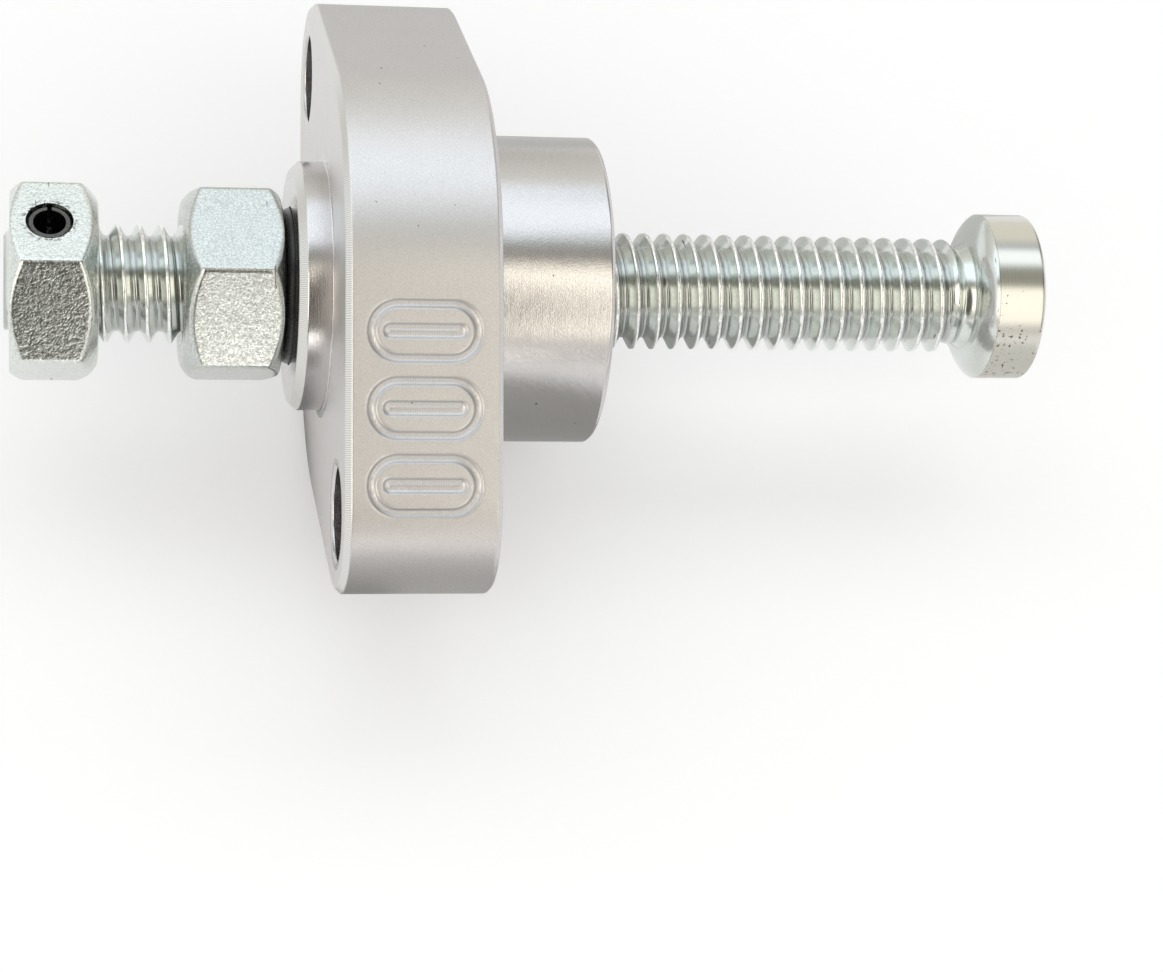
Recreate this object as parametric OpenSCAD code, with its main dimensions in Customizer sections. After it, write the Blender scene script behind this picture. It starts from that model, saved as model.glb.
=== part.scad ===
// Manual cam chain tensioner with a turned billet body.
// X runs along the adjuster, from its free end to the pad that pushes the chain guide.
// Y runs along the line of the two bolt holes, and Z points out of the engraved side.
// The origin is the centre of the mounting face, which seats on the cylinder at X = 0.
// The thread of the adjuster is drawn as one ridge for each turn.

/* [Flange] */
// Thickness of the flange
flange_t = 9.9; // [7:0.1:14]
// Radius of the two round sides, measured from the adjuster
flange_side_r = 15; // [13:0.1:17]
// Radius of the two round ends
flange_end_r = 6.25; // [5.5:0.05:7.5]
// Bevel round the adjuster side of the rim
flange_outer_bevel = 0.4; // [0.1:0.05:0.8]
// Bevel round the mounting face
flange_inner_bevel = 0.3; // [0.1:0.05:0.8]

/* [Bolt holes] */
// Distance between the two bolt holes
hole_spacing = 35.8; // [33:0.1:40]
// Distance by which a hole stands further out than the centre of its round end
hole_setback = 1.4; // [0:0.1:1.8]
// Diameter of the bolt holes
hole_d = 6.1; // [5:0.1:6.4]
// Bevel at both mouths of the bolt holes
hole_bevel = 0.15; // [0.05:0.05:0.3]

/* [Spigot] */
// Diameter of the spigot that enters the cylinder
spigot_d = 20.5; // [16:0.1:24]
// Length of the spigot
spigot_l = 8.1; // [4:0.1:14]
// Bevel at the end of the spigot
spigot_bevel = 0.25; // [0.1:0.05:0.8]
// Countersink where the adjuster leaves the spigot
spigot_mouth = 0.5; // [0.2:0.05:1]

/* [Boss] */
// Diameter of the boss under the lock nut
boss_d = 16.5; // [13:0.1:20]
// Height of the boss above the flange
boss_l = 2.17; // [1.2:0.01:4]
// Bevel round the face of the boss
boss_bevel = 0.55; // [0.1:0.05:0.9]

/* [Milled loops] */
// Length of each loop along the adjuster
loop_l = 7.2; // [5:0.1:8]
// Width of each loop
loop_w = 3.9; // [3:0.1:4.2]
// Distance from one loop to the next
loop_pitch = 4.8; // [4.4:0.1:5.2]
// Width of the milled line
loop_line = 0.5; // [0.3:0.05:0.7]
// Depth of the milled line
loop_depth = 0.3; // [0.1:0.05:0.4]
// Shift of the loops from the middle of the flat, towards the round end
loop_shift = 1.6; // [-1:0.1:2]

/* [Adjuster thread] */
// Diameter over the thread crests
thread_d = 7.86; // [7:0.01:8.2]
// Diameter at the thread roots
thread_root_d = 6.26; // [5.6:0.01:6.6]
// Advance for one turn
thread_pitch = 1.411; // [1.2:0.001:1.6]
// Width of the thread crest
crest_w = 0.22; // [0.1:0.01:0.35]
// Width of the thread root
root_w = 0.28; // [0.15:0.01:0.4]
// Play between the thread and the parts that it turns in
thread_play = 0.07; // [0.03:0.01:0.09]

/* [Adjuster bolt] */
// Distance from the mounting face to the back of the pad rim
pad_x = 35.46; // [28:0.1:40]
// Width of the pad rim
pad_w = 3.35; // [2:0.05:6]
// Diameter of the pad
pad_d = 11.33; // [10:0.01:14]
// Rounding of the front edge of the pad
pad_edge = 0.3; // [0.1:0.05:0.8]
// Length of the sloping underside between the neck and the pad rim
underside_l = 1.1; // [0.6:0.05:2]
// Bulge of the underside, as a share of its height
underside_bulge = 0.15; // [0:0.05:0.25]
// Length of the neck where the thread runs out
neck_l = 0.45; // [0.2:0.05:1]
// Length of the bolt from the back of the pad rim to its free end
shank_l = 66.1; // [64:0.1:74]
// Bevel at the free end
tip_bevel = 0.7; // [0.4:0.05:0.75]

/* [Nuts] */
// Width across the flats of both nuts
nut_flats = 11.9; // [11:0.1:13]
// Thickness of the drive nut
drive_nut_t = 5.7; // [5:0.1:7]
// Length of bolt that stands out of the drive nut
drive_nut_inset = 0.34; // [0.1:0.01:1]
// Turn of the drive nut about the adjuster
drive_nut_turn = 85; // [0:1:360]
// Thickness of the lock nut
lock_nut_t = 6.5; // [5:0.1:8]
// Turn of the lock nut about the adjuster
lock_nut_turn = 88; // [0:1:360]
// Diameter of the flat ring on the plain end of a nut
nut_plain_d = 11.7; // [10.5:0.1:11.8]
// Diameter of the flat ring on the bevelled end of a nut
nut_bevelled_d = 10.8; // [9.5:0.1:11.5]
// Slope of the nut bevels
nut_slope = 38; // [25:1:45]
// Countersink at both ends of a nut
nut_mouth = 0.45; // [0.2:0.05:0.7]

/* [Spring pin] */
// Outer diameter of the spring pin
pin_d = 3; // [2.4:0.1:3.4]
// Wall of the spring pin
pin_wall = 0.45; // [0.3:0.05:0.6]
// Length of the spring pin
pin_l = 11.6; // [9:0.1:11.8]
// Width of the slot along the spring pin
pin_slot = 0.3; // [0.2:0.05:0.9]
// Bevel at both ends of the spring pin
pin_bevel = 0.2; // [0.1:0.05:0.25]
// Shift of the pin from the middle of the drive nut, towards the free end
pin_shift = 0.3; // [0:0.05:0.6]
// Clearance round the pin in its hole
pin_fit = 0.02; // [0.01:0.01:0.05]

/* [Seal ring] */
// Thickness of the seal ring
ring_section = 1.2; // [1:0.05:1.4]
// Play between the seal ring and the thread crests
ring_play = 0.03; // [0.02:0.01:0.06]
// Depth of the seat that holds the ring in the face of the boss
ring_seat = 0.6; // [0.4:0.05:0.8]
// Room between the seal ring and its seat
ring_room = 0.1; // [0.05:0.01:0.2]
// Gap between the seal ring and each flat face that it seals
ring_gap = 0.03; // [0.02:0.01:0.08]

/* [Hidden] */
$fn = 96;
// Depth by which a cut runs past the surface that it opens
over = 1;

thread_r = thread_d / 2;
thread_root_r = thread_root_d / 2;
running_bore_r = thread_r + thread_play;
ridge_w = thread_pitch - root_w;

// Distance from the adjuster to the centre of each round end
flange_end_y = hole_spacing / 2 - hole_setback;
boss_face_x = -flange_t - boss_l;
ring_seat_x = boss_face_x + ring_seat;
ring_bore_r = thread_r + ring_play;
ring_x = ring_seat_x - ring_gap - ring_section / 2;
lock_nut_x = ring_x - ring_section / 2 - ring_gap;

tip_x = pad_x - shank_l;
drive_nut_x = tip_x + drive_nut_inset;
pin_x = drive_nut_x + drive_nut_t / 2 - pin_shift;
pin_hole_r = pin_d / 2 + pin_fit;

// Angle by which the flats of the rim lean from the line of the bolt holes
flat_lean = asin((flange_side_r - flange_end_r) / flange_end_y);
flat_l = flange_end_y * cos(flat_lean);

// Stands a shape that is drawn along Z on the X axis, starting at x
module along_x(x = 0) {
    translate([x, 0, 0]) rotate([0, 90, 0]) children();
}

// Outline of a bevelled edge, from the adjuster side to the mounting face
function rim_outline(outer) = [
    [0, -flange_t],
    [outer - flange_outer_bevel, -flange_t],
    [outer, -flange_t + flange_outer_bevel],
    [outer, -flange_inner_bevel],
    [outer - flange_inner_bevel, 0],
    [0, 0]
];

// Round disc of the flange with both edges bevelled
module rim_disc(r) {
    along_x() rotate_extrude() polygon(rim_outline(r));
}

// Straight bar under one flat of the rim, running to the round end
module rim_bar() {
    rotate([flat_lean, 0, 0])
        translate([0, flat_l, flange_side_r - flange_end_r])
            rotate([90, 0, 0])
                linear_extrude(flat_l)
                    polygon([for (p = rim_outline(flange_end_r)) [p[1], p[0]]]);
}

module flange() {
    rim_disc(flange_side_r);
    for (side = [-1, 1])
        translate([0, side * flange_end_y, 0]) rim_disc(flange_end_r);
    for (y = [0, 1], z = [0, 1])
        mirror([0, y, 0]) mirror([0, 0, z]) rotate([-2 * flat_lean, 0, 0]) rim_bar();
}

// Round boss and spigot, turned on the adjuster's axis
module turned_ends() {
    along_x() rotate_extrude() polygon([
        [0, boss_face_x],
        [boss_d / 2 - boss_bevel, boss_face_x],
        [boss_d / 2, boss_face_x + boss_bevel],
        [boss_d / 2, -flange_t / 2],
        [spigot_d / 2, -flange_t / 2],
        [spigot_d / 2, spigot_l - spigot_bevel],
        [spigot_d / 2 - spigot_bevel, spigot_l],
        [0, spigot_l]
    ]);
}

// Bore that the adjuster turns in, with the seat of the seal ring
module adjuster_bore() {
    seat_r = ring_bore_r + ring_section + ring_room;
    along_x() rotate_extrude() polygon([
        [0, boss_face_x - over],
        [seat_r, boss_face_x - over],
        [seat_r, ring_seat_x],
        [running_bore_r, ring_seat_x],
        [running_bore_r, spigot_l - spigot_mouth],
        [running_bore_r + spigot_mouth + over, spigot_l + over],
        [0, spigot_l + over]
    ]);
}

// Through hole with both mouths bevelled
module bolt_hole() {
    r = hole_d / 2;
    flare = hole_bevel + over;
    along_x() rotate_extrude() polygon([
        [0, -flange_t - over],
        [r + flare, -flange_t - over],
        [r, -flange_t + hole_bevel],
        [r, -hole_bevel],
        [r + flare, over],
        [0, over]
    ]);
}

// Area with straight sides and round ends
module round_ended(l, w) {
    square([l - w, w], center = true);
    for (end = [-1, 1])
        translate([end * (l - w) / 2, 0]) circle(d = w);
}

// One milled loop with a short milled line inside it
module loop_cut() {
    difference() {
        linear_extrude(loop_depth + over) round_ended(loop_l, loop_w);
        translate([0, 0, -over])
            linear_extrude(loop_depth + 3 * over)
                round_ended(loop_l - 2 * loop_line, loop_w - 2 * loop_line);
    }
    linear_extrude(loop_depth + over)
        round_ended(loop_l - 4 * loop_line, loop_w - 6 * loop_line);
}

// Three loops on the flat of the rim between +Z and -Y
module milled_loops() {
    rotate([flat_lean, 0, 0])
        for (i = [-1, 0, 1])
            translate([-flange_t / 2, i * loop_pitch - flat_l / 2 - loop_shift, flange_side_r - loop_depth])
                loop_cut();
}

module body() {
    color("#c4c2bd")
    difference() {
        union() {
            flange();
            turned_ends();
        }
        adjuster_bore();
        for (side = [-1, 1])
            translate([0, side * hole_spacing / 2, 0]) bolt_hole();
        milled_loops();
    }
}

// Outline of the thread ridges, one for each turn that fits between two places
function ridges(x0, x1) = [
    for (i = [0 : floor((x1 - x0) / thread_pitch) - 1])
        let (x = x0 + (i + 0.5) * thread_pitch)
            each [
                [thread_root_r, x - ridge_w / 2],
                [thread_r, x - crest_w / 2],
                [thread_r, x + crest_w / 2],
                [thread_root_r, x + ridge_w / 2]
            ]
];

// Convex underside of the pad, from radius r0 at the neck to radius r1 at the rim
function underside(r0, r1) = [
    for (t = [0 : 0.2 : 1])
        [r0 + (r1 - r0) * (t + 4 * underside_bulge * t * (1 - t)), pad_x - underside_l * (1 - t)]
];

// Quarter circle of radius e that rounds the outer corner at radius r and place x
function rounded_edge(r, x, e) = [
    for (a = [0 : 18 : 90]) [r - e * (1 - cos(a)), x - e * (1 - sin(a))]
];

// Cut that bevels the thread at the free end
module tip_cut() {
    along_x(tip_x) rotate_extrude() polygon([
        [thread_r - tip_bevel - over, -over],
        [thread_r + over, -over],
        [thread_r + over, tip_bevel + over]
    ]);
}

// Hole across the adjuster for the spring pin, in line with a flat of the drive nut
module pin_hole() {
    rotate([drive_nut_turn - 90, 0, 0])
        translate([pin_x, 0, -nut_flats])
            cylinder(r = pin_hole_r, h = 2 * nut_flats);
}

module adjuster_bolt() {
    neck_x = pad_x - underside_l - neck_l;
    pad_r = pad_d / 2;
    color("#b9bcb4")
    difference() {
        along_x() rotate_extrude() polygon(concat(
            [[0, tip_x], [thread_root_r, tip_x]],
            ridges(tip_x, neck_x),
            [[thread_root_r, neck_x]],
            underside(thread_r, pad_r),
            rounded_edge(pad_r, pad_x + pad_w, pad_edge),
            [[0, pad_x + pad_w]]
        ));
        tip_cut();
        pin_hole();
    }
}

// Hexagon nut from x to x + t, with a flat towards the angle turn
module nut(x, t, turn, left_d, right_d, bore_r) {
    corner_r = nut_flats / sqrt(3);
    rise = tan(nut_slope);
    rotate([turn, 0, 0])
    difference() {
        intersection() {
            along_x(x) cylinder(r = corner_r, h = t, $fn = 6);
            along_x(x) rotate_extrude() polygon([
                [0, 0],
                [left_d / 2, 0],
                [corner_r + over, (corner_r + over - left_d / 2) * rise],
                [corner_r + over, t - (corner_r + over - right_d / 2) * rise],
                [right_d / 2, t],
                [0, t]
            ]);
        }
        along_x(x) rotate_extrude() polygon([
            [0, -over],
            [bore_r + nut_mouth + over, -over],
            [bore_r, nut_mouth],
            [bore_r, t - nut_mouth],
            [bore_r + nut_mouth + over, t + over],
            [0, t + over]
        ]);
    }
}

module drive_nut() {
    color("#c9cbc0")
    difference() {
        nut(drive_nut_x, drive_nut_t, drive_nut_turn, nut_plain_d, nut_bevelled_d, thread_r + pin_fit);
        pin_hole();
    }
}

module lock_nut() {
    color("#c2c6be")
    nut(lock_nut_x - lock_nut_t, lock_nut_t, lock_nut_turn, nut_bevelled_d, nut_plain_d, running_bore_r);
}

// Rolled tube with a slot along it, in line with a flat of the drive nut
module spring_pin() {
    r = pin_d / 2;
    bore_r = r - pin_wall;
    half = pin_l / 2;
    color("#4a4640")
    rotate([drive_nut_turn - 90, 0, 0])
    translate([pin_x, 0, 0])
    difference() {
        rotate_extrude() polygon([
            [bore_r, -half],
            [r - pin_bevel, -half],
            [r, -half + pin_bevel],
            [r, half - pin_bevel],
            [r - pin_bevel, half],
            [bore_r, half]
        ]);
        translate([-pin_slot / 2, 0, -pin_l])
            cube([pin_slot, pin_d, 2 * pin_l]);
    }
}

module o_ring() {
    color("#1c1c1c")
    along_x(ring_x) rotate_extrude()
        translate([ring_bore_r + ring_section / 2, 0]) circle(d = ring_section);
}

body();
adjuster_bolt();
drive_nut();
spring_pin();
lock_nut();
o_ring();
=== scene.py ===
"""Looks of the manual cam chain tensioner: rounded and threaded meshes, finishes, studio, camera."""
import math

import bmesh
import bpy
import numpy as np
from mathutils import Matrix, Vector


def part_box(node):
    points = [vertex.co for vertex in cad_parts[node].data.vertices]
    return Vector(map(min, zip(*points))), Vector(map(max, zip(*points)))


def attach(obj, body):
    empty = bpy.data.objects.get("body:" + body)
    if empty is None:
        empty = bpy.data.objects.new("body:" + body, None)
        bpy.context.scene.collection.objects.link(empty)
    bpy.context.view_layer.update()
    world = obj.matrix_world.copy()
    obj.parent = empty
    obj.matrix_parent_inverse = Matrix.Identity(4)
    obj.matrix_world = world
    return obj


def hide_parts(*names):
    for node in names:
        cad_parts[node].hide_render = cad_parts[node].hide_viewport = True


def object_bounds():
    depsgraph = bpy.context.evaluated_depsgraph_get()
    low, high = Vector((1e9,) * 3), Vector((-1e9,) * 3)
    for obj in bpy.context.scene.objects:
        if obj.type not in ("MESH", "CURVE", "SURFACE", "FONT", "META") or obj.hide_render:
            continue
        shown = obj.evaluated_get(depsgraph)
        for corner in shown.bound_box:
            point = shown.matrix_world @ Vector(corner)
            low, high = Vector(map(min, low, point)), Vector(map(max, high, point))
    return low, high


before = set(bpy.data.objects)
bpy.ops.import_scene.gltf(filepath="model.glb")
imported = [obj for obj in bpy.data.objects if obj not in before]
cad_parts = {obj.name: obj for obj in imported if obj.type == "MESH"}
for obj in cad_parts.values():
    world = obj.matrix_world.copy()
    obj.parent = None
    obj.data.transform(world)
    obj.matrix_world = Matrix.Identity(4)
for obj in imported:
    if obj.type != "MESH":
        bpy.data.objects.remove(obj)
cad_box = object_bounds()
bpy.context.scene.view_settings.view_transform = "Standard"

MM = 0.001
TURN = 2 * math.pi

# Camera, as the photograph's perspective gives it
IMAGE_W = 1163
FOCAL_PX = 2972.7
CAMERA_MM = Vector((-30.13, -117.42, 159.43))
CAMERA_AIM = Vector((0.18848, 0.52821, -0.82793))
CAMERA_UP = Vector((-0.00248, 0.84330, 0.53744))

# Sizes of the body in millimetres
FLANGE_T = 9.9
SIDE_R = 15.0
END_R = 6.25
END_Y = 16.5
HOLE_Y = 17.9
HOLE_R = 3.05
HOLE_BEVEL = 0.15
OUTER_BEVEL = 0.4
INNER_BEVEL = 0.3
BOSS_R = 8.25
BOSS_X = -12.07
BOSS_BEVEL = 0.55
SEAT_R = 5.26
SEAT_X = -11.47
BORE_R = 4.0
SPIGOT_R = 10.25
SPIGOT_L = 8.1
SPIGOT_BEVEL = 0.25
SPIGOT_MOUTH = 0.5

# Milled loops on the flat between +Z and -Y
LOOP_L = 7.2
LOOP_W = 3.9
LOOP_PITCH = 4.8
LOOP_LINE = 0.5
LOOP_DEPTH = 0.2
LOOP_SHIFT = 1.6

# Bearing of the outward normal of a flat of the rim, and the length of a flat
FLAT_BEARING = math.degrees(math.acos((SIDE_R - END_R) / END_Y))
FLAT_L = END_Y * math.sin(math.radians(FLAT_BEARING))

# Sizes of the adjuster
THREAD_R = 3.93
THREAD_ROOT_R = 3.13
THREAD_PITCH = 1.411
THREAD_PHASE = 0.49
THREAD_STEPS = 96
TIP_BEVEL = 0.6
TIP_R = THREAD_ROOT_R - 0.1
RUN_OUT = 0.9
PLAIN_END = 0.03
NECK_BRIDGE = 0.08
PAD_R = 5.665
PAD_W = 3.35
PAD_EDGE = 0.3
UNDERSIDE_L = 1.1
UNDERSIDE_BULGE = 0.15
NECK_L = 0.45
NECK_R = 3.3

# Sizes of both nuts and of the spring pin's hole
NUT_FLATS = 11.9
NUT_CORNER = 0.4
NUT_PLAIN_R = 5.85
NUT_BEVELLED_R = 5.4
NUT_SLOPE = 38
NUT_MOUTH = 0.45
DRIVE_NUT_BORE_R = THREAD_R + 0.02
DRIVE_NUT_BEARING = 85
LOCK_NUT_BEARING = 88
PIN_HOLE_R = 1.52
PIN_X = -27.75


def radial(bearing, radius=1.0, x=0.0):
    """Point or direction at a bearing about X, in degrees from +Y towards +Z."""
    angle = math.radians(bearing)
    return Vector((x, radius * math.cos(angle), radius * math.sin(angle)))


# Shader helpers


class Shader:
    """A node tree under construction."""

    def __init__(self, tree):
        self.tree = tree
        self.tree.nodes.clear()

    def add(self, kind, inputs=None, **properties):
        made = self.tree.nodes.new("ShaderNode" + kind)
        for name, value in properties.items():
            setattr(made, name, value)
        for name, value in (inputs or {}).items():
            self.feed(made.inputs[name], value)
        return made

    def feed(self, socket, value):
        if isinstance(value, bpy.types.NodeSocket):
            self.tree.links.new(value, socket)
        else:
            socket.default_value = value

    def math(self, operation, *values):
        made = self.add("Math", operation=operation)
        for socket, value in zip(made.inputs, values):
            self.feed(socket, value)
        return made.outputs[0]

    def point(self):
        """The piece's own coordinates, in millimetres."""
        place = self.add("TexCoord").outputs["Object"]
        return self.add("VectorMath", {0: place, "Scale": 1 / MM}, operation="SCALE").outputs[0]

    def length(self, a, b):
        """Length of the hypotenuse over two sides."""
        return self.math("SQRT", self.math("ADD", self.math("MULTIPLY", a, a), self.math("MULTIPLY", b, b)))

    def wave(self, place, pitch):
        return self.math("SINE", self.math("MULTIPLY", place, TURN / pitch))

    def split(self, vector):
        made = self.add("SeparateXYZ", {0: vector})
        return made.outputs["X"], made.outputs["Y"], made.outputs["Z"]

    def join(self, x=0.0, y=0.0, z=0.0):
        return self.add("CombineXYZ", {"X": x, "Y": y, "Z": z}).outputs[0]

    def noise(self, where, scale, detail=3.0, rough=0.5):
        inputs = {"Vector": where, "Scale": scale, "Detail": detail, "Roughness": rough}
        return self.add("TexNoise", inputs).outputs["Fac"]

    def ramp(self, value, *stops):
        made = self.add("ValToRGB", {"Fac": value})
        bar = made.color_ramp
        while len(bar.elements) < len(stops):
            bar.elements.new(0.5)
        for element, (at, colour) in zip(bar.elements, stops):
            element.position = at
            element.color = (*colour[:3], 1)
        return made.outputs["Color"]

    def span(self, value, low, high, to_low=0.0, to_high=1.0):
        """Maps low..high onto to_low..to_high, clamped."""
        inputs = {"Value": value, "From Min": low, "From Max": high, "To Min": to_low, "To Max": to_high}
        return self.add("MapRange", inputs).outputs[0]

    def mix(self, fac, a, b):
        """Colour between a and b; the sockets 6 and 7 are those of a colour mix."""
        made = self.add("Mix", data_type="RGBA")
        self.feed(made.inputs["Factor"], fac)
        self.feed(made.inputs[6], a)
        self.feed(made.inputs[7], b)
        return made.outputs[2]

    def bump(self, height, strength, distance_mm, normal=None):
        inputs = {"Height": height, "Strength": strength, "Distance": distance_mm * MM}
        if normal is not None:
            inputs["Normal"] = normal
        return self.add("Bump", inputs).outputs[0]

    def layer(self, name):
        """A value that the mesh holds at each vertex."""
        return self.add("Attribute", attribute_name=name).outputs["Fac"]

    def surface(self, **inputs):
        """Ends the tree with a surface; an underscore stands for the space in a socket's name."""
        shader = self.add("BsdfPrincipled")
        for name, value in inputs.items():
            self.feed(shader.inputs[name.replace("_", " ")], value)
        self.add("OutputMaterial", {"Surface": shader.outputs[0]})


def material(name):
    """A new material and the shader to build it with."""
    made = bpy.data.materials.new(name)
    made.use_nodes = True
    return made, Shader(made.node_tree)


def grey(value, warmth=0.0):
    """A grey that leans to yellow with positive warmth and to blue with negative."""
    return (value * (1 + 0.4 * warmth), value * (1 + 0.2 * warmth), value * (1 - warmth), 1)


def billet(value):
    """The grey of the billet, with a trace of red."""
    return (value * 1.03, value, value * 0.995, 1)


def plated(value):
    """The grey of the zinc plating, with a trace of green."""
    return (value * 0.97, value * 1.01, value * 0.97, 1)


# Materials

# Distances in millimetres between the cutter's marks, in the milled lines and on the bevels
MILLED_MARK_PITCH = 0.15
BEVEL_MARK_PITCH = 0.14


def aluminium(name, value, rough_low, rough_high, turned):
    """Satin billet: with fine lines round the axis where it is turned, and else with its milled lines, whose
    walls get painted shade.
    """
    made, s = material(name)
    p = s.point()
    x = s.split(p)[0]
    cloud = s.noise(p, scale=0.3, detail=4)
    grain = s.noise(p, scale=11.0, detail=3, rough=0.65)
    speck = s.noise(p, scale=1.9, detail=2)
    swell = s.noise(p, scale=1.2, detail=2)
    colour = s.mix(cloud, billet(value), billet(value + 0.06))
    colour = s.mix(s.span(grain, 0.35, 0.65, 0.0, 0.45), colour, billet(0.5))
    colour = s.mix(s.span(speck, 0.77, 0.79), colour, grey(0.16, 0.05))
    rough = s.span(grain, 0.3, 0.7, rough_low, rough_high)
    normal = s.bump(grain, strength=0.35, distance_mm=0.02)
    normal = s.bump(swell, strength=0.25, distance_mm=0.03, normal=normal)
    if turned:
        lines = s.noise(s.join(x), scale=9.0, detail=3, rough=0.7)
        normal = s.bump(lines, strength=0.25, distance_mm=0.012, normal=normal)
    else:
        depth = s.layer("milled")
        # Painted shade: the walls of the milled lines are darkened in their colour, where shade falls in the
        # grooves
        groove_wall_shade = s.math("MULTIPLY", s.span(depth, 0.0, 0.25), s.span(depth, 0.45, 0.8, 1.0, 0.0))
        colour = s.mix(s.math("MULTIPLY", groove_wall_shade, 0.55), colour, grey(0.30, -0.02))
        marks = s.span(s.wave(x, MILLED_MARK_PITCH), -1.0, 1.0)
        cut = s.math("MULTIPLY", s.span(depth, 0.5, 0.9), marks)
        normal = s.bump(cut, strength=0.35, distance_mm=0.03, normal=normal)
    s.surface(Base_Color=colour, Metallic=1.0, Roughness=rough, Normal=normal)
    return made


def cut_edge():
    """Bright bevel with the chatter marks of the cutter across it."""
    made, s = material("chattered_bevel")
    wander = s.math("MULTIPLY", s.noise(s.point(), scale=0.6, detail=2), 0.3)
    wave = s.wave(s.math("ADD", s.layer("along"), wander), BEVEL_MARK_PITCH)
    colour = s.mix(s.span(wave, -0.6, 0.6), grey(0.55, 0.03), grey(0.80, 0.03))
    normal = s.bump(wave, strength=0.25, distance_mm=0.008)
    s.surface(Base_Color=colour, Metallic=1.0, Roughness=0.3, Normal=normal)
    return made


def thread_highlight_and_shade(s, p, colour):
    """Lays painted highlight on the crests and painted shade in the roots over the colour of the thread."""
    x, y, z = s.split(p)
    radius = s.length(y, z)
    highlight_breaks = s.span(s.noise(p, scale=5.0, detail=2), 0.35, 0.55, 0.3, 1.0)
    # Painted highlight along the crests of the thread, broken up by noise
    crest_highlight = s.math("MULTIPLY", s.span(radius, THREAD_R - 0.07, THREAD_R - 0.01), highlight_breaks)
    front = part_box("adjuster_bolt")[1] / MM
    neck_x = front.x - PAD_W - UNDERSIDE_L - NECK_L
    shank_highlight = s.math("MULTIPLY", crest_highlight, s.span(x, neck_x - 0.6, neck_x - 0.3, 1.0, 0.0))
    colour = s.mix(shank_highlight, colour, grey(0.98))
    # Painted shade in the roots of the thread
    root = s.span(radius, THREAD_ROOT_R + 0.02, THREAD_ROOT_R + 0.2, 0.45, 0.0)
    return s.mix(root, colour, grey(0.22, -0.02))


def dirt_round_pin(s, p, colour):
    """Lays patches of dirt round the mouths of the spring pin's hole."""
    x, y, z = s.split(p)
    out = radial(DRIVE_NUT_BEARING)
    across = s.math("SUBTRACT", s.math("MULTIPLY", y, out.z), s.math("MULTIPLY", z, out.y))
    away = s.length(across, s.math("SUBTRACT", x, PIN_X))
    near = s.span(away, PIN_HOLE_R, PIN_HOLE_R + 0.4, 1.0, 0.0)
    dirt = s.math("MULTIPLY", near, s.span(s.noise(p, scale=4.0, detail=2), 0.5, 0.6))
    return s.mix(dirt, colour, grey(0.05))


def zinc(name, value, roughness, grain_scale, sparkle, relief, dirt_and_painted_light=None):
    """Zinc plating over coarse crystals: sparkle is their contrast in colour, relief their height.

    A function given as the last argument lays what only one piece has over the colour: real dirt round the
    pin hole of the drive nut, painted highlight and shade on the bolt's thread.
    """
    made, s = material(name)
    p = s.point()
    cloud = s.noise(p, scale=0.7, detail=4)
    grain = s.noise(p, scale=grain_scale, detail=3, rough=0.6)
    crystals = s.noise(p, scale=grain_scale * 2.2, detail=2, rough=0.6)
    colour = s.mix(cloud, plated(value), plated(value + 0.08))
    colour = s.mix(s.span(crystals, 0.52, 0.62, 0.0, sparkle), colour, plated(0.95))
    colour = s.mix(s.span(crystals, 0.38, 0.48, sparkle, 0.0), colour, plated(0.5 * value))
    drawn_out = s.add("VectorMath", {0: p, 1: (3.0, 0.35, 0.5)}, operation="MULTIPLY").outputs[0]
    scratches = s.span(s.noise(drawn_out, scale=1.1, detail=2), 0.735, 0.75)
    colour = s.mix(scratches, colour, grey(0.22, 0.02))
    # Real dirt, or painted highlight and shade, that only one piece has
    if dirt_and_painted_light:
        colour = dirt_and_painted_light(s, p, colour)
    rough = s.span(grain, 0.3, 0.7, *roughness)
    normal = s.bump(grain, strength=relief, distance_mm=0.03)
    normal = s.bump(crystals, strength=relief, distance_mm=0.014, normal=normal)
    s.surface(Base_Color=colour, Metallic=1.0, Roughness=rough, Normal=normal)
    return made


def turned_steel():
    """Bare turned steel of the pad, with rust pits low on its rim, most of them at the back."""
    made, s = material("turned_steel")
    p = s.point()
    x, y, _ = s.split(p)
    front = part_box("adjuster_bolt")[1] / MM
    lines = s.noise(s.join(x), scale=14.0, detail=4, rough=0.7)
    pits = s.noise(p, scale=3.4, detail=3)
    height_limit = s.span(y, -5.0, -1.2, 0.61, 0.75)
    front_limit = s.span(x, front.x - PAD_W, front.x, 0.0, 0.07)
    over = s.math("SUBTRACT", pits, s.math("ADD", height_limit, front_limit))
    colour = s.mix(s.span(lines, 0.3, 0.7), grey(0.60, 0.06), grey(0.70, 0.06))
    colour = s.mix(s.span(over, 0.0, 0.02), colour, (0.16, 0.09, 0.05, 1))
    rough = s.span(lines, 0.3, 0.7, 0.14, 0.26)
    normal = s.bump(lines, strength=0.4, distance_mm=0.006)
    s.surface(Base_Color=colour, Metallic=1.0, Roughness=rough, Normal=normal)
    return made


def dark_steel():
    """Oiled spring steel."""
    made, s = material("dark_steel")
    grain = s.noise(s.point(), scale=9.0, detail=3)
    colour = s.mix(grain, grey(0.03, 0.05), grey(0.20, 0.04))
    rough = s.span(grain, 0.3, 0.7, 0.2, 0.4)
    normal = s.bump(grain, strength=0.3, distance_mm=0.02)
    s.surface(Base_Color=colour, Metallic=1.0, Roughness=rough, Normal=normal)
    return made


def rubber():
    """Glossy black rubber of the seal ring."""
    made, s = material("black_rubber")
    grain = s.noise(s.point(), scale=6.0, detail=3)
    colour = s.mix(grain, grey(0.006), grey(0.018))
    rough = s.span(grain, 0.3, 0.7, 0.22, 0.36)
    normal = s.bump(grain, strength=0.15, distance_mm=0.01)
    s.surface(Base_Color=colour, Roughness=rough, Normal=normal)
    return made


# Mesh helpers


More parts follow.
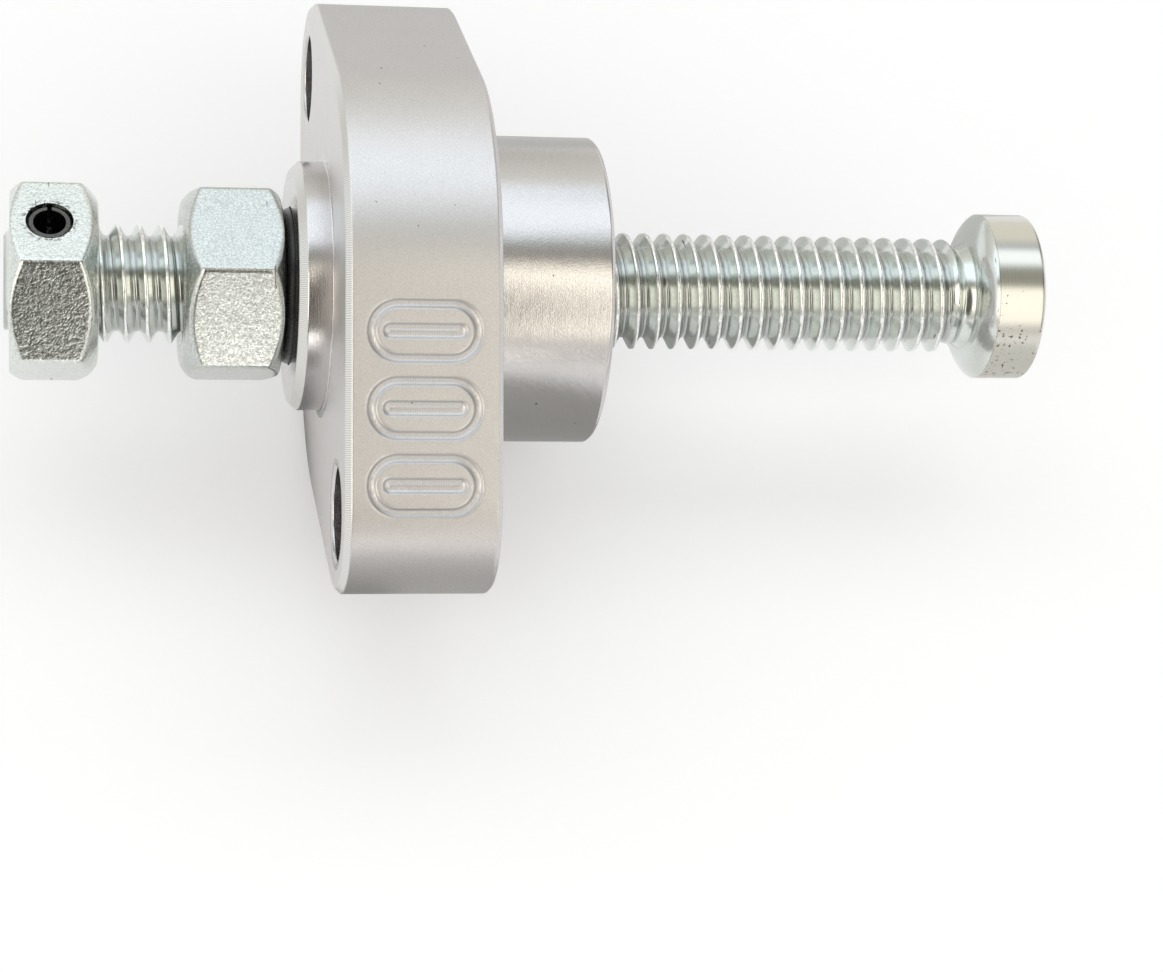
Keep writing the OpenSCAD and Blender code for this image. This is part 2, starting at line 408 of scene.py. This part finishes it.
def add_object(name, data):
    made = bpy.data.objects.new(name, data)
    bpy.context.scene.collection.objects.link(made)
    return made


def add_plain_object(name, corners, faces, look):
    """Object with one material, from its corners in metres and its faces."""
    mesh = bpy.data.meshes.new(name)
    mesh.from_pydata(corners, [], faces)
    mesh.materials.append(look)
    return add_object(name, mesh)


def piece(name, bm, body, slot, *materials):
    """Turns a bmesh that was drawn in millimetres into a piece that rides on a body."""
    bmesh.ops.recalc_face_normals(bm, faces=bm.faces)
    if bm.calc_volume(signed=True) < 0:
        bmesh.ops.reverse_faces(bm, faces=bm.faces)
    bmesh.ops.scale(bm, vec=(MM, MM, MM), verts=bm.verts)
    mesh = bpy.data.meshes.new(name)
    bm.to_mesh(mesh)
    bm.free()
    for look in materials:
        mesh.materials.append(look)
    mesh.shade_smooth()
    made = add_object(name, mesh)
    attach(made, body)
    return made


def ring(bm, points):
    """A row of vertices."""
    return [bm.verts.new(p) for p in points]


def skin(bm, a, b, closed=True):
    """Quads between two rows of as many vertices."""
    count = len(a)
    made = []
    for i in range(count if closed else count - 1):
        j = (i + 1) % count
        made.append(bm.faces.new((a[i], a[j], b[j], b[i])))
    return made


def fill(bm, *rows):
    """Flat face inside the first closed row, with the other rows as holes."""
    edges = []
    for row in rows:
        edges += [bm.edges.get((a, b)) or bm.edges.new((a, b)) for a, b in zip(row, row[1:] + row[:1])]
    bmesh.ops.triangle_fill(bm, edges=edges, use_beauty=True)


def softened(corners, size, steps=4):
    """Rounds the corners of an open outline, with a point beside each curve that keeps its walls flat."""
    largest_share = 0.36
    beside = 1.3
    out = [corners[0]]
    for before, corner, after in zip(corners, corners[1:], corners[2:]):
        c = np.array(corner)
        a = np.array(before) - c
        b = np.array(after) - c
        length_a = np.linalg.norm(a)
        length_b = np.linalg.norm(b)
        a = a * (min(size, largest_share * length_a) / length_a)
        b = b * (min(size, largest_share * length_b) / length_b)
        out.append(tuple(c + a * beside))
        for k in range(steps + 1):
            t = k / steps
            out.append(tuple(c + a * (1 - t) ** 2 + b * t * t))
        out.append(tuple(c + b * beside))
    out.append(corners[-1])
    return out


def revolve(bm, outline, centre_y=0.0, steps=144):
    """One row of vertices for each (x, radius) of the outline, round a line along X.

    Where the mesh has the layer along, it holds the place on the round edge of the boss.
    """
    along = bm.verts.layers.float.get("along")
    rows = []
    for x, r in outline:
        row = ring(bm, [radial(360 * k / steps - 90, r, x) + Vector((0, centre_y, 0)) for k in range(steps)])
        if along:
            for k, v in enumerate(row):
                v[along] = TURN * BOSS_R * k / steps
        rows.append(row)
    return rows


def skin_rows(bm, rows, slot):
    for a, b in zip(rows, rows[1:]):
        for face in skin(bm, a, b):
            face.material_index = slot


# The body, with its milled loops

# Material slots of the body
SATIN = 0
TURNED = 1
BEVEL = 2
# Width of flat face that is drawn with each round opening or step
FACE_RING = 0.5
# Distance from the edge of a bevel at which its bright finish starts
BEVEL_START = 0.03


def rim_columns():
    """Point on the rim, outward normal and place along the looped flat and the arc after it."""
    arc_steps = 40
    fine_arc_steps = 150
    flat_steps = 8
    fine_flat_steps = 180
    arcs = [
        (END_Y, END_R, -FLAT_BEARING, FLAT_BEARING),
        (0.0, SIDE_R, FLAT_BEARING, 180 - FLAT_BEARING),
        (-END_Y, END_R, 180 - FLAT_BEARING, 180 + FLAT_BEARING),
        (0.0, SIDE_R, 180 + FLAT_BEARING, 360 - FLAT_BEARING),
    ]
    looped_flat = 1
    looped_arc = 2
    columns = []
    for k, (centre, r, start, end) in enumerate(arcs):
        looped = k == looped_arc
        steps = fine_arc_steps if looped else arc_steps
        for i in range(steps + 1):
            normal = radial(start + (end - start) * i / steps)
            place = FLAT_L + r * math.radians(end - start) * i / steps if looped else None
            columns.append((Vector((0, centre, 0)) + normal * r, normal, place))
        next_centre, next_r, _, _ = arcs[(k + 1) % len(arcs)]
        normal = radial(end)
        a = columns[-1][0]
        b = Vector((0, next_centre, 0)) + normal * next_r
        looped = k == looped_flat
        steps = fine_flat_steps if looped else flat_steps
        for i in range(1, steps):
            place = FLAT_L * i / steps if looped else None
            columns.append((a.lerp(b, i / steps), normal, place))
    return columns


def obround(x, y, length, width):
    """Distance outside an area with straight sides and round ends, negative inside."""
    return math.hypot(max(abs(x) - (length - width) / 2, 0), y) - width / 2


def loop_depth(x, place):
    """Share of the full depth of the milled lines at a place on the looped flat."""
    reach = LOOP_LINE / 2 + 0.06
    steepness = 1.2
    x = x + FLANGE_T / 2
    deepest = 0.0
    for i in (-1, 0, 1):
        y = place - FLAT_L / 2 - LOOP_SHIFT + i * LOOP_PITCH
        outer = abs(obround(x, y, LOOP_L, LOOP_W) + LOOP_LINE / 2)
        inner = abs(obround(x, y, LOOP_L - 4 * LOOP_LINE, LOOP_W - 6 * LOOP_LINE) + LOOP_LINE / 2)
        away = min(outer, inner) / reach
        if away < 1:
            deepest = max(deepest, (1 - away * away) ** steepness)
    return deepest


def rim_rows():
    """(x, inset from the rim) from the adjuster side to the mounting face."""
    face = 1.0
    step = 0.08
    rounding = 0.09
    middle = -FLANGE_T / 2
    left = [(-FLANGE_T, face), (-FLANGE_T, OUTER_BEVEL), (-FLANGE_T + OUTER_BEVEL, 0.0), (middle, 0.0)]
    right = [(middle, 0.0), (-INNER_BEVEL, 0.0), (0.0, INNER_BEVEL), (0.0, face)]
    left = softened(left, rounding)[:-1]
    right = softened(right, rounding)[1:]
    count = round((right[0][0] - left[-1][0]) / step)
    groove_wall_shade = [(x, 0.0) for x in np.linspace(left[-1][0], right[0][0], count)[1:-1]]
    return left + groove_wall_shade + right


def hole_outline():
    """(x, radius) of a bolt hole, with the start of both faces round it."""
    corners = [
        (-FLANGE_T, HOLE_R + FACE_RING),
        (-FLANGE_T, HOLE_R + HOLE_BEVEL),
        (-FLANGE_T + HOLE_BEVEL, HOLE_R),
        (-HOLE_BEVEL, HOLE_R),
        (0.0, HOLE_R + HOLE_BEVEL),
        (0.0, HOLE_R + FACE_RING),
    ]
    return softened(corners, 0.05)


def turned_outline():
    """(x, radius) from the flange over the boss, through the bore and back over the spigot."""
    corners = [
        (-FLANGE_T, BOSS_R + FACE_RING),
        (-FLANGE_T, BOSS_R),
        (BOSS_X + BOSS_BEVEL, BOSS_R),
        (BOSS_X, BOSS_R - BOSS_BEVEL),
        (BOSS_X, SEAT_R),
        (SEAT_X, SEAT_R),
        (SEAT_X, BORE_R),
        (SPIGOT_L - SPIGOT_MOUTH, BORE_R),
        (SPIGOT_L, BORE_R + SPIGOT_MOUTH),
        (SPIGOT_L, SPIGOT_R - SPIGOT_BEVEL),
        (SPIGOT_L - SPIGOT_BEVEL, SPIGOT_R),
        (0.0, SPIGOT_R),
        (0.0, SPIGOT_R + FACE_RING),
    ]
    return softened(corners, 0.08)


def rim(bm):
    """Rows of vertices round the flange, each with its depth of milling and its place round the rim."""
    along = bm.verts.layers.float.new("along")
    milled = bm.verts.layers.float.new("milled")
    columns = rim_columns()
    outline = rim_rows()
    flush = 0.001
    rows = []
    for x, inset in outline:
        row = []
        travelled = 0.0
        before = columns[0][0]
        for point, normal, place in columns:
            can_be_cut = place is not None and inset < flush
            cut = loop_depth(x, place) if can_be_cut else 0.0
            v = bm.verts.new(point - normal * (inset + LOOP_DEPTH * cut) + Vector((x, 0, 0)))
            travelled += (point - before).length
            before = point
            v[along] = travelled
            v[milled] = cut
            row.append(v)
        rows.append(row)
    for (xa, _), (xb, _), a, b in zip(outline, outline[1:], rows, rows[1:]):
        past_edge = (xa + xb) / 2 + FLANGE_T
        slot = BEVEL if BEVEL_START < past_edge < OUTER_BEVEL - BEVEL_START else SATIN
        for face in skin(bm, a, b):
            face.material_index = slot
    return rows


def body(satin, turned, bevel):
    """The billet in one mesh: flange, bolt holes, boss, bore and spigot."""
    bm = bmesh.new()
    rows = rim(bm)
    hole = hole_outline()
    holes = [revolve(bm, hole, y, 72) for y in (-HOLE_Y, HOLE_Y)]
    for made in holes:
        skin_rows(bm, made, TURNED)
    outline = turned_outline()
    turned_rows = revolve(bm, outline)
    for (xa, ra), (xb, rb), a, b in zip(outline, outline[1:], turned_rows, turned_rows[1:]):
        past_edge = (xa + xb) / 2 - BOSS_X
        outside = (ra + rb) / 2 > BOSS_R - BOSS_BEVEL
        slot = BEVEL if outside and BEVEL_START < past_edge < BOSS_BEVEL - BEVEL_START else TURNED
        for face in skin(bm, a, b):
            face.material_index = slot
    fill(bm, rows[0], turned_rows[0], holes[0][0], holes[1][0])
    fill(bm, rows[-1], turned_rows[-1], holes[0][-1], holes[1][-1])
    made = piece("billet_body", bm, "housing", "aluminium", satin, turned, bevel)
    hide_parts("body")


# The adjuster bolt, with its right-hand rolled thread


def thread_profile():
    """Offsets along the axis and radii over one pitch, from root to root."""
    half = THREAD_PITCH / 2
    side = [
        (-half, THREAD_ROOT_R),
        (-half + 0.12, THREAD_ROOT_R + 0.015),
        (-half + 0.21, THREAD_ROOT_R + 0.11),
        (-0.17, THREAD_R - 0.12),
        (-0.11, THREAD_R - 0.03),
        (0.0, THREAD_R),
    ]
    return side + [(-x, r) for x, r in reversed(side[1:-1])]


def pad_outline(neck_x, front_x):
    """(x, radius) from the neck over the convex underside and the rim to the middle of the pad."""
    pad_x = front_x - PAD_W
    step = PAD_R - THREAD_R
    groove_r = PAD_R - 0.03
    outline = [(neck_x, NECK_R), (pad_x - UNDERSIDE_L + 0.1, THREAD_R - 0.3)]
    for t in np.linspace(0.12, 1.0, 8):
        rise = t + 4 * UNDERSIDE_BULGE * t * (1 - t)
        outline.append((pad_x - UNDERSIDE_L * (1 - t), THREAD_R + step * rise))
    outline.append((pad_x + 0.02, groove_r))
    outline.append((pad_x + 0.08, groove_r))
    outline.append((pad_x + 0.1, PAD_R))
    outline.append((front_x - PAD_EDGE - 0.1, PAD_R))
    for angle in range(0, 91, 15):
        turn = math.radians(angle)
        outline.append((front_x - PAD_EDGE * (1 - math.sin(turn)), PAD_R - PAD_EDGE * (1 - math.cos(turn))))
    outline.append((front_x, PAD_R - 2 * PAD_EDGE))
    outline.append((front_x, 0.5))
    return outline


def thread_row(profile, turn, index, tip_x, end_x):
    """One profile of the thread, bevelled at the tip and run out at the neck."""
    start_x = THREAD_PHASE + THREAD_PITCH * (turn + index / THREAD_STEPS)
    fade_x = end_x - PLAIN_END - RUN_OUT
    row = []
    for offset, r in profile:
        x = start_x + offset
        fade = min(max((x - fade_x) / RUN_OUT, 0), 1)
        r = r + (NECK_R - r) * fade * fade * (3 - 2 * fade)
        r = min(r, TIP_R + (x - tip_x) * (THREAD_R - THREAD_ROOT_R) / TIP_BEVEL)
        row.append(radial(360 * index / THREAD_STEPS, max(r, 1.0), x))
    return row


def thread(bm, tip_x, neck_x):
    """Right-hand thread, closed at the tip; returns the edges that are open at the neck."""
    end_x = neck_x - NECK_BRIDGE
    first = math.floor((tip_x - THREAD_PHASE) / THREAD_PITCH) - 1
    last = math.ceil((neck_x - THREAD_PHASE) / THREAD_PITCH) + 1
    profile = thread_profile()
    rows = []
    for turn in range(first, last):
        for index in range(THREAD_STEPS):
            rows.append(ring(bm, thread_row(profile, turn, index, tip_x, end_x)))
            if len(rows) > 1:
                skin(bm, rows[-2], rows[-1], closed=False)
    next_turn = rows[THREAD_STEPS:]
    for here, there, up, up_next in zip(rows, rows[1:], next_turn, next_turn[1:]):
        bm.faces.new((here[-1], there[-1], up_next[0], up[0]))
    for x, at_tip in ((tip_x, True), (end_x, False)):
        geometry = bm.verts[:] + bm.edges[:] + bm.faces[:]
        bmesh.ops.bisect_plane(
            bm, geom=geometry, dist=1e-5, plane_co=(x, 0, 0), plane_no=(1, 0, 0),
            clear_inner=at_tip, clear_outer=not at_tip,
        )
    bmesh.ops.remove_doubles(bm, verts=bm.verts, dist=1e-4)
    open_edges = [e for e in bm.edges if e.is_boundary]
    tip_edges = [e for e in open_edges if e.verts[0].co.x < 0]
    bmesh.ops.triangle_fill(bm, edges=tip_edges, use_beauty=True)
    return [e for e in open_edges if e.verts[0].co.x > 0]


def adjuster_bolt(plating, rim_steel):
    """The bolt in one mesh: thread, neck, sloping underside and pad, drilled for the spring pin."""
    low, high = (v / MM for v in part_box("adjuster_bolt"))
    pad_x = high.x - PAD_W
    neck_x = pad_x - UNDERSIDE_L - NECK_L
    bm = bmesh.new()
    neck_edges = thread(bm, low.x, neck_x)
    head = pad_outline(neck_x, high.x)
    rows = revolve(bm, head, steps=THREAD_STEPS)
    for (xa, _), (xb, _), a, b in zip(head, head[1:], rows, rows[1:]):
        on_rim = (xa + xb) / 2 > pad_x
        for face in skin(bm, a, b):
            face.material_index = 1 if on_rim else 0
    bm.faces.new(rows[-1]).material_index = 1
    first_row = set(rows[0])
    seam = [e for e in bm.edges if e.verts[0] in first_row and e.verts[1] in first_row]
    bmesh.ops.bridge_loops(bm, edges=neck_edges + seam)
    made = piece("threaded_adjuster", bm, "adjuster", "zinc_bolt", plating, rim_steel)
    drill(made)
    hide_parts("adjuster_bolt")


# The nuts, and the hole for the spring pin


def drill(made):
    """Cuts the cross hole of the spring pin through a piece."""
    sharp_angle = math.radians(55)
    length = 2 * NUT_FLATS * MM
    radius = PIN_HOLE_R * MM
    turn = Matrix.Rotation(math.radians(DRIVE_NUT_BEARING - 90), 4, "X")
    place = Matrix.Translation((PIN_X * MM, 0, 0)) @ turn
    bm = bmesh.new()
    bmesh.ops.create_cone(
        bm, cap_ends=True, segments=72, radius1=radius, radius2=radius, depth=length, matrix=place,
    )
    mesh = bpy.data.meshes.new("cutter")
    bm.to_mesh(mesh)
    bm.free()
    mesh.shade_smooth()
    cutter = add_object("cutter", mesh)
    cut = made.modifiers.new("hole", "BOOLEAN")
    cut.operation = "DIFFERENCE"
    cut.solver = "EXACT"
    cut.object = cutter
    graph = bpy.context.evaluated_depsgraph_get()
    drilled = bpy.data.meshes.new_from_object(made.evaluated_get(graph))
    made.modifiers.clear()
    made.data = drilled
    bpy.data.objects.remove(cutter)
    drilled.set_sharp_from_angle(angle=sharp_angle)


def hexagon_radius(angle):
    """Radius of a hexagon with rounded corners, at degrees from the middle of a flat."""
    apothem = NUT_FLATS / 2
    centre = (apothem - NUT_CORNER) / math.cos(math.radians(30))
    away = math.radians(30 - abs(angle))
    rounded = math.atan2(NUT_CORNER / 2, centre + NUT_CORNER * math.cos(math.radians(30)))
    if away < rounded:
        return centre * math.cos(away) + math.sqrt(NUT_CORNER**2 - (centre * math.sin(away)) ** 2)
    return apothem / math.cos(math.radians(angle))


def nut(name, node, body_name, bearing, left_r, right_r, bore_r, plating):
    """Hexagon nut with a flat towards a bearing, bevelled from the given radii at its two ends."""
    low, high = (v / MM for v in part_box(node))
    half_side = (-30, -29.6, -29.2, -28.8, -28.4, -28.0, -27, -22, -15, -8)
    side_angles = half_side + (0,) + tuple(-a for a in reversed(half_side[1:]))
    slope = math.tan(math.radians(NUT_SLOPE))
    rounding = 0.22
    bm = bmesh.new()
    columns = []
    for side in range(6):
        for angle in side_angles:
            r = hexagon_radius(angle)
            corners = [
                (low.x + NUT_MOUTH, bore_r),
                (low.x, bore_r + NUT_MOUTH),
                (low.x, left_r),
                (low.x + (r - left_r) * slope, r),
                (high.x - (r - right_r) * slope, r),
                (high.x, right_r),
                (high.x, bore_r + NUT_MOUTH),
                (high.x - NUT_MOUTH, bore_r),
            ]
            outline = softened(corners, rounding)
            columns.append(ring(bm, [radial(bearing + 60 * side + angle, r, x) for x, r in outline]))
    for a, b in zip(columns, columns[1:] + columns[:1]):
        skin(bm, a, b, closed=False)
        bm.faces.new((a[-1], b[-1], b[0], a[0]))
    made = piece(name, bm, body_name, "zinc_nut", plating)
    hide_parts(node)
    return made


# Camera, floor and light

# Half the floor's side and its distance under the part, in metres, its glow and the room's light
FLOOR_HALF = 3.0
FLOOR_DROP = 0.0002
FLOOR_GLOW = 0.22
ROOM_LIGHT = 0.62


def make_camera():
    """Camera at the place, aim and focal length that the photograph's perspective gives."""
    data = bpy.data.cameras.new("camera")
    data.sensor_width = 36
    data.lens = FOCAL_PX / IMAGE_W * data.sensor_width
    data.clip_start = 0.01
    data.clip_end = 20
    made = add_object("camera", data)
    aim = CAMERA_AIM.normalized()
    right = aim.cross(CAMERA_UP).normalized()
    up = right.cross(aim)
    turn = Matrix((right, up, -aim)).transposed()
    made.matrix_world = Matrix.Translation(CAMERA_MM * MM) @ turn.to_4x4()
    bpy.context.scene.camera = made


def white_to_background(s):
    """1 for the rays that show the background: from the camera, in metal and through glass."""
    path = s.add("LightPath").outputs
    shown = s.math("MAXIMUM", path["Is Camera Ray"], path["Is Glossy Ray"])
    return s.math("MAXIMUM", shown, path["Is Transmission Ray"])


def make_floor():
    """Pale floor that keeps the part's shadow and shows as white where none falls."""
    made, s = material("floor_paper")
    paper = s.add("BsdfDiffuse", {"Color": grey(0.85)})
    strength = s.math("MULTIPLY", white_to_background(s), FLOOR_GLOW)
    glow = s.add("Emission", {"Color": grey(1.0), "Strength": strength})
    both = s.add("AddShader", {0: paper.outputs[0], 1: glow.outputs[0]})
    s.add("OutputMaterial", {"Surface": both.outputs[0]})
    half = FLOOR_HALF
    z = cad_box[0].z - FLOOR_DROP
    corners = [(-half, -half, z), (half, -half, z), (half, half, z), (-half, half, z)]
    add_plain_object("floor", corners, [(0, 1, 2, 3)], made)


def make_world():
    """Even room light, with white as the background."""
    world = bpy.data.worlds.new("studio")
    bpy.context.scene.world = world
    world.use_nodes = True
    s = Shader(world.node_tree)
    room = s.add("Background", {"Color": grey(1.0, 0.005), "Strength": ROOM_LIGHT})
    white = s.add("Background", {"Color": grey(1.0), "Strength": 1.0})
    both = s.add("MixShader", {0: white_to_background(s), 1: room.outputs[0], 2: white.outputs[0]})
    s.add("OutputWorld", {"Surface": both.outputs[0]})


def soft_box(name, bearing, width_deg, length, distance, strength, colour):
    """Lamp that lights the floor and the rubber; metal shows the tunnel in its place."""
    data = bpy.data.lights.new(name, "AREA")
    data.shape = "RECTANGLE"
    data.size = length
    data.size_y = 2 * distance * math.tan(math.radians(width_deg / 2))
    data.energy = strength * data.size * data.size_y * math.pi
    data.color = colour
    made = add_object(name, data)
    made.visible_glossy = False
    out = radial(bearing)
    along = Vector((1, 0, 0))
    turn = Matrix((along, out.cross(along), out)).transposed()
    made.matrix_world = Matrix.Translation(out * distance) @ turn.to_4x4()


# Cards round the X axis: bearing in degrees and the light that metal shows at that bearing
BODY_CARDS = (
    (0, (0.70, 0.69, 0.65)),
    (14, (0.74, 0.73, 0.69)),
    (38, (0.92, 0.92, 0.87)),
    (48, (1.32, 1.42, 1.50)),
    (84, (1.34, 1.44, 1.52)),
    (95, (0.40, 0.40, 0.37)),
    (104, (0.40, 0.39, 0.35)),
    (114, (2.29, 2.15, 1.87)),
    (156, (2.14, 2.01, 1.75)),
    (166, (0.80, 0.77, 0.73)),
    (180, (0.70, 0.68, 0.65)),
)
PAD_CARDS = (
    (0, (0.96, 0.93, 0.84)),
    (36, (0.98, 0.94, 0.84)),
    (53, (0.50, 0.54, 0.58)),
    (61, (1.50, 1.58, 1.64)),
    (77, (1.50, 1.58, 1.64)),
    (87, (0.36, 0.37, 0.32)),
    (110, (0.36, 0.35, 0.29)),
    (117, (1.62, 1.57, 1.41)),
    (160, (1.60, 1.53, 1.39)),
    (170, (0.85, 0.81, 0.77)),
    (180, (0.82, 0.79, 0.75)),
)
TUNNEL_PEAK = 2.4
TUNNEL_R = 0.45
# Metres along X between which the body's cards give way to the pad's
TUNNEL_CHANGE_X = (0.085, 0.165)

# Dark oval where the camera stands: its place and reach in metres along X and in degrees of bearing,
# the shares of that reach over which it ends, and the share of light left in it
SHADE_X = -0.06
SHADE_BEARING = 140
SHADE_SIZE = (0.155, 37)
SHADE_EDGE = (0.8, 1.04)
SHADE_LIGHT = 0.06

# Bright strip low on the camera's side: its light, where it starts and ends along X, and its bearing
STRIP_LIGHT = 6.0
STRIP_START_X = (-0.004, 0.006)
STRIP_END_X = (0.026, 0.038)
STRIP_BEARING = (168, 171)

# Where the cards get darker past the pad, and the share of light left there
FAR_X = (0.26, 0.36)
FAR_LIGHT = 0.4

# Cards of painted shadow on the floor, which stand in, for metal only, for the shadow the part casts on the
# floor: near and far corner in metres, and the tones that metal shows there
FLOOR_SHADOW_CARDS = {
    "boss_shadow_card": ((-0.0118, -0.16), (-0.005, 0.01), (0.44, 0.22)),
    "flange_shadow_card": ((-0.005, -0.16), (0.003, 0.01), (0.66, 0.43)),
    "spigot_shadow_card": ((0.003, -0.16), (0.016, 0.01), (0.60, 0.34)),
    "pad_shadow_card": ((0.037, -0.16), (0.06, 0.0), (0.95, 0.72)),
    "back_shadow_card": ((-0.011, 0.012), (0.05, 0.3), (0.62, 0.72)),
}
CARD_DROP = 0.0001


def seen_in_metal_only(thing):
    """Stage that neither the camera nor the matt surfaces see."""
    thing.visible_camera = False
    thing.visible_diffuse = False
    thing.visible_shadow = False
    thing.visible_transmission = False


def make_tunnel():
    """Curved cards over the part, seen only in its reflections."""
    half = 0.8
    steps = 60
    first_bearing = -2
    whole_bearing = 184
    made, s = material("reflector_cards")
    x, y, z = s.split(s.add("TexCoord").outputs["Object"])
    bearing = s.math("MULTIPLY", s.math("ARCTAN2", z, y), 180 / math.pi)
    share = s.math("DIVIDE", bearing, 180.0)
    lights = []
    for cards in (BODY_CARDS, PAD_CARDS):
        stops = [(at / 180, [v / TUNNEL_PEAK for v in colour]) for at, colour in cards]
        lights.append(s.ramp(share, *stops))
    light = s.mix(s.span(x, *TUNNEL_CHANGE_X), *lights)
    size_x, size_bearing = SHADE_SIZE
    off_x = s.math("DIVIDE", s.math("SUBTRACT", x, SHADE_X), size_x)
    off_bearing = s.math("DIVIDE", s.math("SUBTRACT", bearing, SHADE_BEARING), size_bearing)
    shade = s.span(s.length(off_x, off_bearing), *SHADE_EDGE, SHADE_LIGHT, 1.0)
    along_strip = s.math("MULTIPLY", s.span(x, *STRIP_START_X), s.span(x, *STRIP_END_X, STRIP_LIGHT, 0.0))
    strip = s.math("MULTIPLY", s.span(bearing, *STRIP_BEARING), along_strip)
    far = s.math("MULTIPLY", s.span(x, *FAR_X, 1.0, FAR_LIGHT), TUNNEL_PEAK)
    strength = s.math("MULTIPLY", s.math("ADD", shade, strip), far)
    glow = s.add("Emission", {"Color": light, "Strength": strength})
    s.add("OutputMaterial", {"Surface": glow.outputs[0]})
    corners = []
    for k in range(steps + 1):
        at = first_bearing + whole_bearing * k / steps
        corners += [radial(at, TUNNEL_R, -half), radial(at, TUNNEL_R, half)]
    faces = [(2 * k, 2 * k + 1, 2 * k + 3, 2 * k + 2) for k in range(steps)]
    seen_in_metal_only(add_plain_object("card_tunnel", corners, faces, made))


def make_floor_shadow_card(name, near_corner, far_corner, tones):
    """A card of painted shadow on the floor, which darkens what metal shows of the floor, with one tone near
    and one far along Y.
    """
    x0, y0 = near_corner
    x1, y1 = far_corner
    z = cad_box[0].z - CARD_DROP
    made, s = material(name)
    y = s.split(s.add("TexCoord").outputs["Object"])[1]
    # Painted shadow: the card's glow is the tone of the shaded floor that metal shows
    glow = s.add("Emission", {"Color": grey(1.0, 0.03), "Strength": s.span(y, y0, y1, *tones)})
    s.add("OutputMaterial", {"Surface": glow.outputs[0]})
    corners = [(x0, y0, z), (x1, y0, z), (x1, y1, z), (x0, y1, z)]
    seen_in_metal_only(add_plain_object(name, corners, [(0, 1, 2, 3)], made))


make_camera()
make_floor()
make_world()
soft_box(
    "cool_box", bearing=65, width_deg=28, length=0.9, distance=0.6, strength=1.0, colour=(0.93, 0.97, 1.0),
)
soft_box(
    "warm_box", bearing=134, width_deg=44, length=1.0, distance=0.6, strength=0.9, colour=(1.0, 0.97, 0.93),
)
make_tunnel()
for card_name, card in FLOOR_SHADOW_CARDS.items():
    make_floor_shadow_card(card_name, *card)

body(
    aluminium("satin_aluminium", 0.70, rough_low=0.34, rough_high=0.46, turned=False),
    aluminium("turned_aluminium", 0.62, rough_low=0.11, rough_high=0.19, turned=True),
    cut_edge(),
)
bolt_plating = zinc(
    "zinc_bolt_plating", 0.68, roughness=(0.12, 0.22), grain_scale=4.0, sparkle=0.12, relief=0.1,
    dirt_and_painted_light=thread_highlight_and_shade,
)
adjuster_bolt(bolt_plating, turned_steel())
drive_nut_plating = zinc(
    "zinc_drive_nut_plating", 0.70, roughness=(0.12, 0.24), grain_scale=3.2, sparkle=0.35, relief=0.8,
    dirt_and_painted_light=dirt_round_pin,
)
drive_nut = nut(
    "hex_drive_nut", "drive_nut", "adjuster", DRIVE_NUT_BEARING, left_r=NUT_PLAIN_R, right_r=NUT_BEVELLED_R,
    bore_r=DRIVE_NUT_BORE_R, plating=drive_nut_plating,
)
drill(drive_nut)
lock_nut_plating = zinc(
    "zinc_lock_nut_plating", 0.55, roughness=(0.16, 0.28), grain_scale=3.6, sparkle=0.3, relief=0.3,
)
nut(
    "hex_lock_nut", "lock_nut", "lock", LOCK_NUT_BEARING, left_r=NUT_BEVELLED_R, right_r=NUT_PLAIN_R,
    bore_r=BORE_R, plating=lock_nut_plating,
)
for node_name, look in {"spring_pin": dark_steel(), "o_ring": rubber()}.items():
    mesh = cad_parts[node_name].data
    mesh.materials.clear()
    mesh.materials.append(look)
